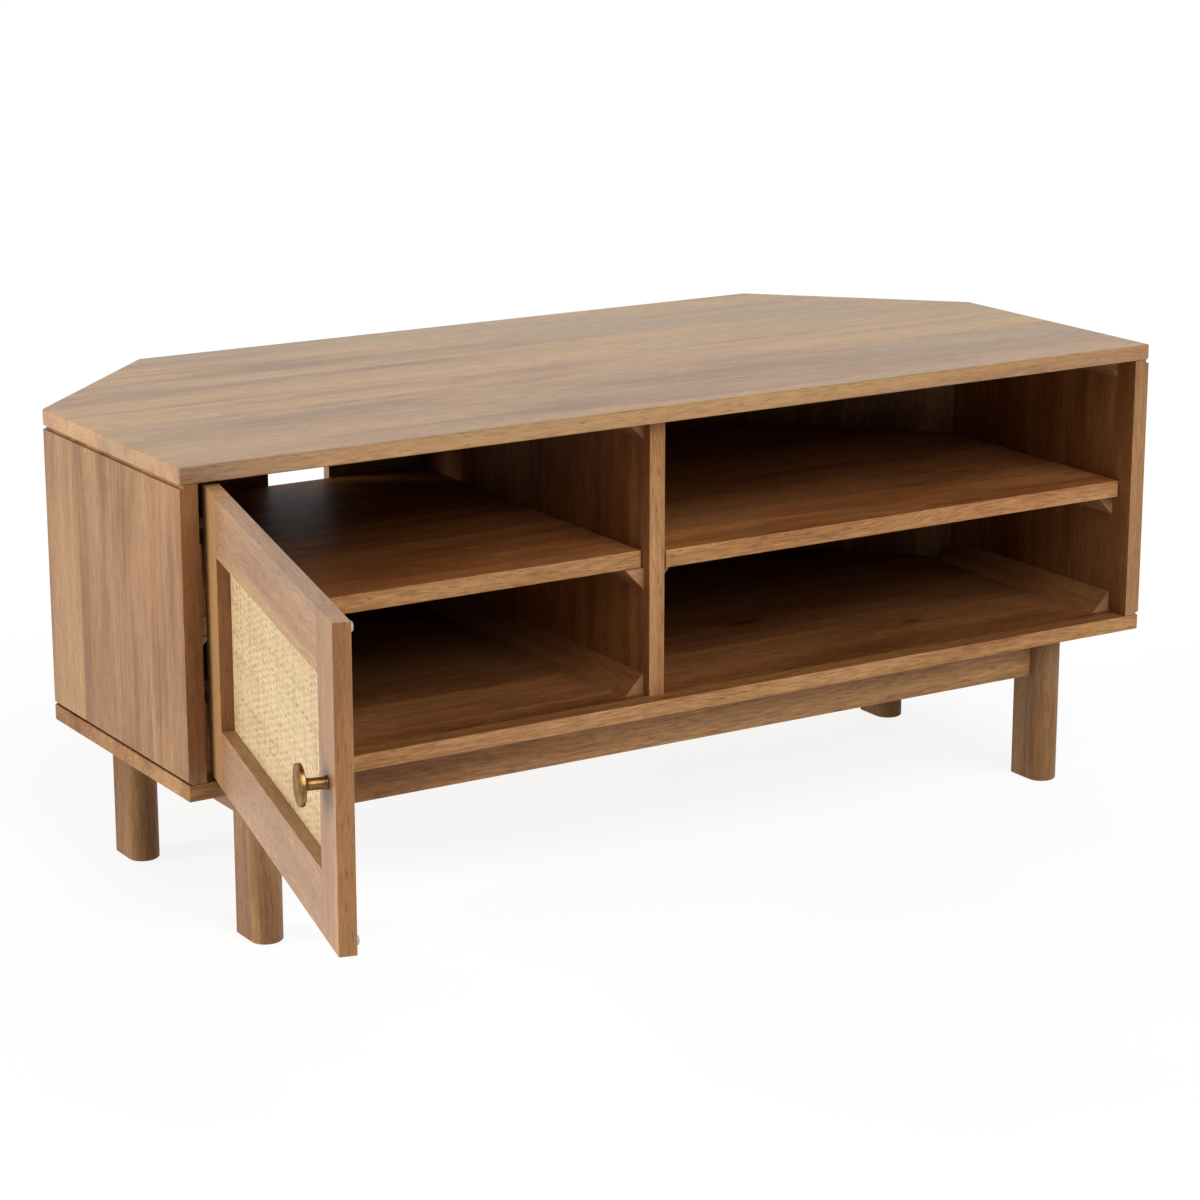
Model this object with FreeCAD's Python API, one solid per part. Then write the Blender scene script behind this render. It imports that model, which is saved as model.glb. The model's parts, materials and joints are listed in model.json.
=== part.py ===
"""Media cabinet for a room corner: two open bays, one cane door, four D-section legs.

Millimetres, +Z up, +X to the viewer's right, +Y towards the back.
The parts are laid out from the front left corner of the top at floor level, then moved so
that the origin is the middle of the whole object's box, on the floor.
The door is stored open, and turns about the pins of its two concealed hinges.
"""
import FreeCAD, Part
import math
import os

Vec = FreeCAD.Vector

# Case
WIDTH = 1100.0
DEPTH = 480.0
CORNER_CUT = 180.0        # both back corners are cut off at 45 degrees
LEG_HEIGHT = 160.0
CASE_HEIGHT = 305.0
SLAB = 16.0               # top and bottom panels
BOARD = 17.5              # sides, divider and shelves
BACK_BOARD = 12.0
EASED_EDGE = 1.5
EASED_SHELF = 1.0
EASED_DIVIDER = 1.0
REVEAL_DEPTH = 3.5        # shadow groove under the top and over the bottom
REVEAL_TOP = 3.5
REVEAL_BOTTOM = 2.6

# Inside of the case
DIVIDER_X = 497.0
DIVIDER_FRONT = 17.5
SHELF_BOTTOM = 302.0
LEFT_SHELF_FRONT = 30.0
RIGHT_SHELF_FRONT = 17.5
SHELF_GAP = 1.5
CLEAT = 21.0              # legs of the triangular section
CLEAT_FRONT = 28.0
OPEN_BAY_CLEAT_FRONT = 34.0
CLEAT_BACK_GAP = 8.0
CABLE_HOLE_X = (316.0, 387.0)
CABLE_HOLE_Z = (312.0, 375.0)
CABLE_HOLE_CORNER = 6.0

# Base
LEG_WIDTH = 32.0
LEG_DEPTH = 45.0
FOOT_CHAMFER = 1.2
LEG_SIDE_INSET = 75.5
FRONT_LEG_Y = 25.0
BACK_LEG_Y = 296.5
RAIL_HEIGHT = 46.0
RAIL_BOARD = 18.0
FRONT_RAIL_Y = 45.0
BACK_RAIL_Y = 318.0
BLOCK_LEG = 40.0
BLOCK_HEIGHT = 30.0
STUD_RADIUS = 4.0
STUD_IN_LEG = 40.0
STUD_IN_PANEL = 10.0
DOWEL_RADIUS = 4.0
DOWEL_LENGTH = 24.0
DOWEL_Z = (129.0, 149.0)
DOWEL_STEP = 9.0          # the side rails' dowels sit lower, clear of the long rails'

# Door
DOOR_LEFT = 22.5
DOOR_WIDTH = 482.0
DOOR_BOTTOM = 180.0
DOOR_HEIGHT = 265.0
DOOR_BOARD = 15.0
STILE = 52.0
DOOR_RAIL = 54.0
EASED_DOOR = 0.8
REBATE_WIDTH = 8.0
CANE_FRONT = 12.0
CANE = 1.2
CANE_EDGE_GAP = 0.5
DOOR_OPEN_ANGLE = 104.0
PIVOT_X = 30.0
PIVOT_Y = 4.5

# Knob and bumpers
KNOB_RADIUS = 17.0
KNOB_LENGTH = 24.0
KNOB_DISC = 4.5
KNOB_EDGE = 0.7
KNOB_NECK_RADIUS = 4.8
KNOB_BASE_RADIUS = 5.8
KNOB_BASE_FLARE = 3.0
KNOB_DISC_FLARE = 8.0
KNOB_FLARE_WIDTH = 2.4
KNOB_FLARE_STEPS = 5
KNOB_CROWN = ((0.6, 0.2), (0.25, 0.0))    # share of the radius, share of the edge it lies below the tip
KNOB_SCREW_RADIUS = 2.0
KNOB_SCREW_HEAD_RADIUS = 4.5
KNOB_SCREW_HEAD = 1.8
KNOB_SCREW_HEAD_EDGE = 1.0
KNOB_SCREW_GRIP = 9.0
BUMPER_RADIUS = 4.2
BUMPER_HEIGHT = 2.2
BUMPER_DOME = 1.6         # rounding of the dome's outer edge
BUMPER_FROM_EDGE = 5.2
BUMPER_FROM_TOP = 5.4
BUMPER_FROM_BOTTOM = 11.0

# Concealed hinges
HINGE_Z = (259.0, 408.0)
HINGE_NAMES = ("lower", "upper")
CUP_X = 37.9
CUP_RADIUS = 13.0
CUP_BOTTOM = 1.6
CUP_SHEET = 0.6
WING_HALF_WIDTH = 5.0
WING_HALF_HEIGHT = 22.0
WING_SCREW_Z = 18.0
PIN_RADIUS = 0.9
PIN_HALF_LENGTH = 10.0
PIN_CLEARANCE = 0.05
BOSS_RADIUS = 1.7
ARM_HALF_WIDTH = 4.5
ARM_SHEET = 1.8
GOOSENECK_RADIUS = 13.6   # inside radius, clear of the door's hinge edge as it swings
SPOKE_FRONT = 1.6         # the spoke's faces in front of the pin's axis and behind it
SPOKE_BACK = 0.2
SPOKE_SHORT = 0.5         # what the spoke stays short of the hook's outer face
BEND_LEAD = 0.5           # straight stretch before the hook meets the strip to the foot
BEND_LAG = 1.0
FOOT_FRONT_GAP = 1.0
FOOT_BACK_GAP = 2.0
PLATE = 2.5
PLATE_Y = (36.0, 64.0)
PLATE_HALF_HEIGHT = 19.0
PLATE_CORNER = 5.0
PLATE_SCREW_Z = 12.5
SMALL_SCREW_RADIUS = 1.6
SMALL_HEAD_RADIUS = 3.2
SMALL_HEAD = 1.2
SMALL_GRIP = 8.0
FILLER_Y = (22.0, 29.0)
FILLER_WIDTH = 12.0
FILLER_Z = ((198.0, 243.0), (313.0, 389.0))
BACK_SCREW_X = (215.0, 382.5, 550.0, 717.5, 885.0)
BACK_SCREW_GRIP = 10.0

# Heights that follow
CASE_TOP = LEG_HEIGHT + CASE_HEIGHT
INSIDE_BOTTOM = LEG_HEIGHT + SLAB
INSIDE_TOP = CASE_TOP - SLAB
RIGHT_LEG_X = WIDTH - LEG_SIDE_INSET - LEG_WIDTH


def box(x_range, y_range, z_range):
    """A box between two values on each axis."""
    size = [limits[1] - limits[0] for limits in (x_range, y_range, z_range)]
    return Part.makeBox(size[0], size[1], size[2], Vec(x_range[0], y_range[0], z_range[0]))


def prism(points, z_range):
    """A plan outline pulled up between two heights."""
    outline = [Vec(x, y, z_range[0]) for x, y in points]
    face = Part.Face(Part.makePolygon(outline + outline[:1]))
    return face.extrude(Vec(0, 0, z_range[1] - z_range[0]))


def rod(start, direction, radius, length):
    """A cylinder from a point along a direction."""
    return Part.makeCylinder(radius, length, start, direction)


def eased(shape, amount=EASED_EDGE):
    """The shape with each of its edges rounded over."""
    return shape.makeFillet(amount, shape.Edges)


def joined(shapes):
    """One solid from shapes that meet."""
    return shapes[0].fuse(shapes[1:]).removeSplitter()


def case_outline(side=0.0, back=0.0, front=0.0):
    """Plan of the case, drawn in from its sides, its back boards' faces and its front."""
    half_angle = math.tan(math.radians(22.5))
    side_end = DEPTH - CORNER_CUT + side - back / math.sin(math.radians(45.0))
    back_end = CORNER_CUT + back * half_angle
    return [
        (side, front),
        (WIDTH - side, front),
        (WIDTH - side, side_end),
        (WIDTH - back_end, DEPTH - back),
        (back_end, DEPTH - back),
        (side, side_end),
    ]


def reveal_cutter():
    """The ring-shaped shadow grooves that run round the case under the top and over the bottom."""
    rings = []
    for z_range in (
        (INSIDE_BOTTOM, INSIDE_BOTTOM + REVEAL_BOTTOM),
        (INSIDE_TOP - REVEAL_TOP, INSIDE_TOP),
    ):
        outer = prism(case_outline(side=-1.0, back=-1.0, front=-1.0), z_range)
        inner = prism(case_outline(side=REVEAL_DEPTH, back=REVEAL_DEPTH, front=-2.0), z_range)
        rings.append(outer.cut(inner))
    return Part.makeCompound(rings)


def slabs():
    """Top and bottom panels, with the plan of the whole case."""
    return {
        "top_panel": eased(prism(case_outline(), (INSIDE_TOP, CASE_TOP))),
        "bottom_panel": eased(prism(case_outline(), (LEG_HEIGHT, INSIDE_BOTTOM))),
    }


def cable_hole():
    """The cable outlet through the middle back board; the left shelf hides its lowest few millimetres."""
    cutter = box(CABLE_HOLE_X, (DEPTH - 2 * BACK_BOARD, DEPTH + BACK_BOARD), CABLE_HOLE_Z)
    long_edges = [edge for edge in cutter.Edges if abs(edge.tangentAt(edge.FirstParameter).y) > 0.9]
    return cutter.makeFillet(CABLE_HOLE_CORNER, long_edges)


def walls():
    """Side panels and the three back boards, mitred where they meet."""
    outer = case_outline()
    inner = case_outline(side=BOARD, back=BACK_BOARD)
    faces = {
        "side_panel_right": [outer[1], outer[2], inner[2], (WIDTH - BOARD, 0.0)],
        "back_board_right": [outer[2], outer[3], inner[3], inner[2]],
        "back_board_middle": [outer[3], outer[4], inner[4], inner[3]],
        "back_board_left": [outer[4], outer[5], inner[5], inner[4]],
        "side_panel_left": [outer[5], outer[0], (BOARD, 0.0), inner[5]],
    }
    grooves = reveal_cutter()
    result = {}
    for name, points in faces.items():
        result[name] = prism(points, (INSIDE_BOTTOM, INSIDE_TOP)).cut(grooves)
    result["back_board_middle"] = result["back_board_middle"].cut(cable_hole())
    return result


def divider():
    """Upright board between the door's bay and the open bay."""
    back = DEPTH - BACK_BOARD
    board = box((DIVIDER_X, DIVIDER_X + BOARD), (DIVIDER_FRONT, back), (INSIDE_BOTTOM, INSIDE_TOP))
    upright = [edge for edge in board.Edges if edge.BoundBox.ZLength > BOARD]
    front = [edge for edge in upright if edge.CenterOfMass.y < DEPTH / 2]
    return board.makeFillet(EASED_DIVIDER, front)


def shelves():
    """One loose shelf in each bay, resting on the cleats."""
    plan = case_outline(side=BOARD + SHELF_GAP, back=BACK_BOARD + SHELF_GAP)
    z_range = (SHELF_BOTTOM, SHELF_BOTTOM + BOARD)
    whole = prism(plan, z_range)
    left_end = DIVIDER_X - SHELF_GAP
    right_start = DIVIDER_X + BOARD + SHELF_GAP
    left = whole.common(box((0, left_end), (LEFT_SHELF_FRONT, DEPTH), z_range))
    right = whole.common(box((right_start, WIDTH), (RIGHT_SHELF_FRONT, DEPTH), z_range))
    return {"shelf_left": eased(left, EASED_SHELF), "shelf_right": eased(right, EASED_SHELF)}


def cleat(wall_x, into_bay, level_z, up, front, back):
    """Triangular strip in the corner of a wall and a board; into_bay and up are +1 or -1."""
    corner = Vec(wall_x, front, level_z)
    along = Vec(wall_x + into_bay * CLEAT, front, level_z)
    beside = Vec(wall_x, front, level_z + up * CLEAT)
    face = Part.Face(Part.makePolygon([corner, along, beside, corner]))
    return face.extrude(Vec(0, back - front, 0))


def cleats():
    """The strips that hold the top, the shelves and the bottom to the uprights."""
    side_back = case_outline(side=BOARD, back=BACK_BOARD)[5][1] - CLEAT_BACK_GAP
    middle_back = DEPTH - BACK_BOARD - CLEAT_BACK_GAP
    uprights = {
        "left_side": (BOARD, 1, side_back),
        "divider_left": (DIVIDER_X, -1, middle_back),
        "right_side": (WIDTH - BOARD, -1, side_back),
    }
    levels = {"top": (INSIDE_TOP, -1), "shelf": (SHELF_BOTTOM, -1), "bottom": (INSIDE_BOTTOM, 1)}
    result = {}
    for level, (z, up) in levels.items():
        for place, (x, into_bay, back) in uprights.items():
            result[f"cleat_{level}_{place}"] = cleat(x, into_bay, z, up, CLEAT_FRONT, back)
    # the divider's other side has a cleat only where the open bay's shelf needs one
    open_bay = (DIVIDER_X + BOARD, 1, SHELF_BOTTOM, -1, OPEN_BAY_CLEAT_FRONT, middle_back)
    result["cleat_shelf_divider_right"] = cleat(*open_bay)
    return result


def leg(x, y):
    """A leg with a half-round front and a flat back."""
    radius = LEG_WIDTH / 2
    centre = y + radius
    tip = Vec(x + radius, y, 0)
    left = Vec(x, centre, 0)
    right = Vec(x + LEG_WIDTH, centre, 0)
    back_left = Vec(x, y + LEG_DEPTH, 0)
    back_right = Vec(x + LEG_WIDTH, y + LEG_DEPTH, 0)
    outline = Part.Wire([
        Part.Arc(left, tip, right).toShape(),
        Part.makeLine(right, back_right),
        Part.makeLine(back_right, back_left),
        Part.makeLine(back_left, left),
    ])
    post = Part.Face(outline).extrude(Vec(0, 0, LEG_HEIGHT))
    foot_edges = [edge for edge in post.Edges if edge.BoundBox.ZMax < 0.1]
    return post.makeChamfer(FOOT_CHAMFER, foot_edges)


def legs():
    """Four legs, all with the round side to the front."""
    result = {}
    for side, x in (("left", LEG_SIDE_INSET), ("right", RIGHT_LEG_X)):
        result[f"leg_front_{side}"] = leg(x, FRONT_LEG_Y)
        result[f"leg_back_{side}"] = leg(x, BACK_LEG_Y)
    return result


def side_rail_range(x):
    """Where a side rail lies across its leg."""
    middle = x + LEG_WIDTH / 2
    return (middle - RAIL_BOARD / 2, middle + RAIL_BOARD / 2)


def rails(posts):
    """The apron under the case: rails between the legs, coped to the back legs' round fronts."""
    z_range = (LEG_HEIGHT - RAIL_HEIGHT, LEG_HEIGHT)
    across = (LEG_SIDE_INSET + LEG_WIDTH, RIGHT_LEG_X)
    along = (FRONT_LEG_Y + LEG_DEPTH, BACK_LEG_Y + LEG_WIDTH / 2)
    result = {
        "rail_front": box(across, (FRONT_RAIL_Y, FRONT_RAIL_Y + RAIL_BOARD), z_range),
        "rail_back": box(across, (BACK_RAIL_Y, BACK_RAIL_Y + RAIL_BOARD), z_range),
    }
    for side, x in (("left", LEG_SIDE_INSET), ("right", RIGHT_LEG_X)):
        rail = box(side_rail_range(x), along, z_range)
        result[f"rail_{side}"] = rail.cut(posts[f"leg_back_{side}"])
    return result


def corner_blocks():
    """Triangular glue blocks between the long rails and the legs' inner sides."""
    z_range = (LEG_HEIGHT - BLOCK_HEIGHT, LEG_HEIGHT)
    corners = (
        ("front_left", LEG_SIDE_INSET + LEG_WIDTH, FRONT_RAIL_Y + RAIL_BOARD, 1, 1),
        ("front_right", RIGHT_LEG_X, FRONT_RAIL_Y + RAIL_BOARD, -1, 1),
        ("back_left", LEG_SIDE_INSET + LEG_WIDTH, BACK_RAIL_Y, 1, -1),
        ("back_right", RIGHT_LEG_X, BACK_RAIL_Y, -1, -1),
    )
    result = {}
    for name, x, y, towards_x, towards_y in corners:
        outline = [(x, y), (x + towards_x * BLOCK_LEG, y), (x, y + towards_y * BLOCK_LEG)]
        result[f"corner_block_{name}"] = prism(outline, z_range)
    return result


def leg_studs():
    """A threaded stud from each leg up into the bottom panel."""
    studs = []
    for x in (LEG_SIDE_INSET, RIGHT_LEG_X):
        for y in (FRONT_LEG_Y, BACK_LEG_Y):
            foot = Vec(x + LEG_WIDTH / 2, y + LEG_WIDTH / 2, LEG_HEIGHT - STUD_IN_LEG)
            studs.append(rod(foot, Vec(0, 0, 1), STUD_RADIUS, STUD_IN_LEG + STUD_IN_PANEL))
    return studs


def rail_dowels():
    """Wooden dowels that join the rails' ends to the legs, two at each joint."""
    dowels = []
    along_x = Vec(DOWEL_LENGTH, 0, 0)
    along_y = Vec(0, DOWEL_LENGTH, 0)
    inner_sides = (LEG_SIDE_INSET + LEG_WIDTH, RIGHT_LEG_X)
    for z in DOWEL_Z:
        for x in inner_sides:
            for rail_y in (FRONT_RAIL_Y, BACK_RAIL_Y):
                start = Vec(x, rail_y + RAIL_BOARD / 2, z) - along_x * 0.5
                dowels.append(rod(start, along_x, DOWEL_RADIUS, DOWEL_LENGTH))
        for leg_x in (LEG_SIDE_INSET, RIGHT_LEG_X):
            for y in (FRONT_LEG_Y + LEG_DEPTH, BACK_LEG_Y):
                start = Vec(leg_x + LEG_WIDTH / 2, y, z - DOWEL_STEP) - along_y * 0.5
                dowels.append(rod(start, along_y, DOWEL_RADIUS, DOWEL_LENGTH))
    return dowels


def swung_open(shape):
    """A door piece turned about the hinge pins from shut to its stored, open place."""
    turned = shape.copy()
    turned.rotate(Vec(PIVOT_X, PIVOT_Y, 0), Vec(0, 0, 1), -DOOR_OPEN_ANGLE)
    return turned


def countersunk_screw(point, direction, grip, radius=SMALL_SCREW_RADIUS, head_radius=SMALL_HEAD_RADIUS):
    """A screw whose flat head starts at the point, with its shank along the direction."""
    head = Part.makeCone(head_radius, radius, SMALL_HEAD, point, direction)
    shank = rod(point, direction, radius, grip)
    return joined([head, shank])


def door_frame():
    """Two upright stiles with two rails between them, rebated behind for the cane."""
    left, right = DOOR_LEFT, DOOR_LEFT + DOOR_WIDTH
    bottom, top = DOOR_BOTTOM, DOOR_BOTTOM + DOOR_HEIGHT
    thickness = (0.0, DOOR_BOARD)
    rebate = box(
        (left + STILE - REBATE_WIDTH, right - STILE + REBATE_WIDTH),
        (CANE_FRONT, 2 * DOOR_BOARD),
        (bottom + DOOR_RAIL - REBATE_WIDTH, top - DOOR_RAIL + REBATE_WIDTH),
    )
    boards = {
        "door_stile_hinge": box((left, left + STILE), thickness, (bottom, top)),
        "door_stile_free": box((right - STILE, right), thickness, (bottom, top)),
        "door_rail_top": box((left + STILE, right - STILE), thickness, (top - DOOR_RAIL, top)),
        "door_rail_bottom": box((left + STILE, right - STILE), thickness, (bottom, bottom + DOOR_RAIL)),
    }
    return {name: eased(board, EASED_DOOR).cut(rebate) for name, board in boards.items()}


def cane_ranges(edge_gap):
    """Width and height ranges of what lies in the rebate, held back from its edges."""
    reach = REBATE_WIDTH - edge_gap
    across = (DOOR_LEFT + STILE - reach, DOOR_LEFT + DOOR_WIDTH - STILE + reach)
    upright = (DOOR_BOTTOM + DOOR_RAIL - reach, DOOR_BOTTOM + DOOR_HEIGHT - DOOR_RAIL + reach)
    return across, upright


def cane_and_beads():
    """The cane sheet in its rebate and the four thin beads that hold it there."""
    across, upright = cane_ranges(CANE_EDGE_GAP)
    result = {"cane_panel": box(across, (CANE_FRONT, CANE_FRONT + CANE), upright)}
    across, upright = cane_ranges(0.0)
    y_range = (CANE_FRONT + CANE, DOOR_BOARD)
    low = (upright[0], upright[0] + REBATE_WIDTH)
    high = (upright[1] - REBATE_WIDTH, upright[1])
    between = (low[1], high[0])
    result["bead_bottom"] = box(across, y_range, low)
    result["bead_top"] = box(across, y_range, high)
    result["bead_hinge_side"] = box((across[0], across[0] + REBATE_WIDTH), y_range, between)
    result["bead_free_side"] = box((across[1] - REBATE_WIDTH, across[1]), y_range, between)
    return result


def knob_profile():
    """Half section of the knob as radius and height: base, slim neck, flare, disc and low crown."""
    disc_back = KNOB_LENGTH - KNOB_DISC
    profile = [(0.0, 0.0), (KNOB_BASE_RADIUS, 0.0), (KNOB_NECK_RADIUS, KNOB_BASE_FLARE)]
    for step in range(KNOB_FLARE_STEPS + 1):
        share = step / KNOB_FLARE_STEPS
        radius = KNOB_NECK_RADIUS + KNOB_FLARE_WIDTH * share ** 3
        profile.append((radius, disc_back - KNOB_DISC_FLARE * (1.0 - share)))
    profile += [
        (KNOB_RADIUS - KNOB_EDGE, disc_back),
        (KNOB_RADIUS, disc_back + KNOB_EDGE),
        (KNOB_RADIUS, KNOB_LENGTH - 2 * KNOB_EDGE),
        (KNOB_RADIUS - KNOB_EDGE, KNOB_LENGTH - KNOB_EDGE),
    ]
    profile += [(KNOB_RADIUS * width, KNOB_LENGTH - KNOB_EDGE * drop) for width, drop in KNOB_CROWN]
    return profile + [(0.0, KNOB_LENGTH)]


def knob():
    """A turned knob: a thin disc on a slim neck that flares into it, axis towards the front."""
    outline = [Vec(radius, 0, height) for radius, height in knob_profile()]
    face = Part.Face(Part.makePolygon(outline + outline[:1]))
    turned = face.revolve(Vec(0, 0, 0), Vec(0, 0, 1), 360)
    turned.rotate(Vec(0, 0, 0), Vec(1, 0, 0), 90)
    turned.translate(knob_centre())
    return turned


def knob_centre():
    """Where the knob stands on the free stile's face."""
    return Vec(DOOR_LEFT + DOOR_WIDTH - STILE / 2, 0, DOOR_BOTTOM + DOOR_HEIGHT / 2)


def knob_screw():
    """The machine screw through the stile into the knob's neck."""
    centre = knob_centre()
    start = Vec(centre.x, DOOR_BOARD, centre.z)
    shank = rod(start, Vec(0, -1, 0), KNOB_SCREW_RADIUS, DOOR_BOARD + KNOB_SCREW_GRIP)
    head = rod(start, Vec(0, 1, 0), KNOB_SCREW_HEAD_RADIUS, KNOB_SCREW_HEAD)
    return joined([shank, rounded_end(head, KNOB_SCREW_HEAD_EDGE)])


def rounded_end(disc, amount):
    """A disc on the door's inside face with the edge of its far end rounded over."""
    middle = disc.CenterOfMass.y
    far_edges = [edge for edge in disc.Edges if edge.BoundBox.YMin > middle]
    return disc.makeFillet(amount, far_edges)


def bumpers():
    """Two soft domes on the inside of the door, which meet the divider's front edge."""
    x = DOOR_LEFT + DOOR_WIDTH - BUMPER_FROM_EDGE
    domes = []
    for z in (DOOR_BOTTOM + BUMPER_FROM_BOTTOM, DOOR_BOTTOM + DOOR_HEIGHT - BUMPER_FROM_TOP):
        disc = rod(Vec(x, DOOR_BOARD, z), Vec(0, 1, 0), BUMPER_RADIUS, BUMPER_HEIGHT)
        domes.append(rounded_end(disc, BUMPER_DOME))
    return domes


def hinge_pin(z):
    """The pin across the cup, on which the arm's eye turns."""
    return rod(Vec(PIVOT_X, PIVOT_Y, z - PIN_HALF_LENGTH), Vec(0, 0, 1), PIN_RADIUS, 2 * PIN_HALF_LENGTH)


def hinge_cup(z):
    """Pressed cup let into the stile, with a winged flange on its inside face."""
    back = Vec(0, 1, 0)
    shell = rod(Vec(CUP_X, CUP_BOTTOM, z), back, CUP_RADIUS, DOOR_BOARD - CUP_BOTTOM)
    wing_x = (CUP_X - WING_HALF_WIDTH, CUP_X + WING_HALF_WIDTH)
    wings = box(wing_x, (DOOR_BOARD, DOOR_BOARD + CUP_SHEET), (z - WING_HALF_HEIGHT, z + WING_HALF_HEIGHT))
    rim = rod(Vec(CUP_X, DOOR_BOARD, z), back, CUP_RADIUS, CUP_SHEET)
    hollow = rod(Vec(CUP_X, CUP_BOTTOM + CUP_SHEET, z), back, CUP_RADIUS - CUP_SHEET, DOOR_BOARD)
    return joined([shell, rim, wings]).cut(hollow)


def cup_screws(z):
    """Two screws through the flange's wings into the stile."""
    screws = []
    for side in (-1, 1):
        head = Vec(CUP_X, DOOR_BOARD + CUP_SHEET, z + side * WING_SCREW_Z)
        screws.append(countersunk_screw(head, Vec(0, -1, 0), SMALL_GRIP))
    return screws


def sheet_strip(points, thickness, z_range):
    """A bent strip of sheet metal that follows points in plan, its thickness to their left."""
    runs = [after - before for before, after in zip(points, points[1:])]
    offset = []
    for point, before, after in zip(points, runs[:1] + runs, runs + runs[-1:]):
        left_before = Vec(-before.y, before.x, 0).normalize()
        left_after = Vec(-after.y, after.x, 0).normalize()
        half = (left_before + left_after).normalize()
        offset.append(point + half * (thickness / half.dot(left_after)))
    outline = [(point.x, point.y) for point in points + offset[::-1]]
    return prism(outline, z_range)


def hinge_arm(z):
    """The gooseneck arm: an eye on the pin, a hook round the door's edge and a foot on the plate."""
    z_range = (z - ARM_HALF_WIDTH, z + ARM_HALF_WIDTH)
    height = z_range[1] - z_range[0]
    low = Vec(PIVOT_X, PIVOT_Y, z_range[0])
    eye = rod(low, Vec(0, 0, 1), BOSS_RADIUS, height)
    outer_radius = GOOSENECK_RADIUS + ARM_SHEET
    front = PIVOT_Y - SPOKE_FRONT
    spoke = box((PIVOT_X, PIVOT_X + outer_radius - SPOKE_SHORT), (front, PIVOT_Y + SPOKE_BACK), z_range)
    ring = rod(low, Vec(0, 0, 1), outer_radius, height).cut(rod(low, Vec(0, 0, 1), GOOSENECK_RADIUS, height))
    hook = ring.common(box((PIVOT_X, WIDTH), (front, DEPTH), z_range))
    foot_x = BOARD + PLATE
    bends = [
        Vec(PIVOT_X + BEND_LEAD, PIVOT_Y + GOOSENECK_RADIUS, 0),
        Vec(PIVOT_X - BEND_LAG, PIVOT_Y + GOOSENECK_RADIUS, 0),
        Vec(foot_x, PLATE_Y[0] - FOOT_FRONT_GAP, 0),
        Vec(foot_x, PLATE_Y[1] - FOOT_BACK_GAP, 0),
    ]
    leg_strip = sheet_strip(bends[::-1], ARM_SHEET, z_range)
    arm = joined([eye, spoke, hook, leg_strip])
    return arm.cut(rod(low, Vec(0, 0, 1), PIN_RADIUS + PIN_CLEARANCE, height))


def hinge_plate(z):
    """The mounting plate on the side panel, under the arm's foot."""
    plate = box((BOARD, BOARD + PLATE), PLATE_Y, (z - PLATE_HALF_HEIGHT, z + PLATE_HALF_HEIGHT))
    corners = [edge for edge in plate.Edges if edge.BoundBox.XLength > PLATE / 2]
    return plate.makeFillet(PLATE_CORNER, corners)


def plate_screws(z):
    """Two screws that hold the plate and one that holds the arm's foot to it."""
    inward = Vec(-1, 0, 0)
    middle_y = sum(PLATE_Y) / 2
    screws = []
    for side in (-1, 1):
        head = Vec(BOARD + PLATE, middle_y, z + side * PLATE_SCREW_Z)
        screws.append(countersunk_screw(head, inward, PLATE + SMALL_GRIP))
    foot = Vec(BOARD + PLATE + ARM_SHEET, middle_y, z)
    screws.append(countersunk_screw(foot, inward, ARM_SHEET + PLATE + SMALL_GRIP))
    return screws


def filler_strips():
    """Strips on the side panel beside the door's hinge edge, left out where the hinges are."""
    x_range = (BOARD, BOARD + FILLER_WIDTH)
    lower, upper = (box(x_range, FILLER_Y, z_range) for z_range in FILLER_Z)
    return {"filler_strip_lower": lower, "filler_strip_upper": upper}


def back_screws():
    """Screws along the back boards' top and bottom edges into the slabs' cleats."""
    screws = []
    z_levels = (INSIDE_BOTTOM + CLEAT / 2, INSIDE_TOP - CLEAT / 2)
    for z in z_levels:
        for x in BACK_SCREW_X:
            screws.append(countersunk_screw(Vec(x, DEPTH, z), Vec(0, -1, 0), BACK_SCREW_GRIP))
    return screws


def bored(shape, tools):
    """The shape without the room that the tools take."""
    return shape.cut(Part.makeCompound(tools))


def fixed_parts():
    """Everything that stays still, by node name."""
    parts = slabs()
    parts.update(walls())
    parts["divider"] = divider()
    parts.update(shelves())
    parts.update(cleats())
    parts.update(legs())
    parts.update(rails(parts))
    parts.update(corner_blocks())
    parts.update(filler_strips())
    studs = leg_studs()
    dowels = rail_dowels()
    case_screws = []
    for name, z in zip(HINGE_NAMES, HINGE_Z):
        screws = plate_screws(z)
        case_screws += screws
        parts[f"hinge_arm_{name}"] = bored(hinge_arm(z), screws)
        parts[f"hinge_plate_{name}"] = bored(hinge_plate(z), screws)
    parts["side_panel_left"] = bored(parts["side_panel_left"], case_screws)
    parts["back_board_middle"] = bored(parts["back_board_middle"], back_screws())
    parts["bottom_panel"] = bored(parts["bottom_panel"], studs)
    for name in parts:
        if name.startswith("leg_"):
            parts[name] = bored(parts[name], studs + dowels)
        if name.startswith("rail_"):
            parts[name] = bored(parts[name], dowels)
    parts["leg_studs"] = Part.makeCompound(studs)
    parts["rail_dowels"] = Part.makeCompound(dowels)
    parts["hinge_plate_screws"] = Part.makeCompound(case_screws)
    parts["back_board_screws"] = Part.makeCompound(back_screws())
    return parts


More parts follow.
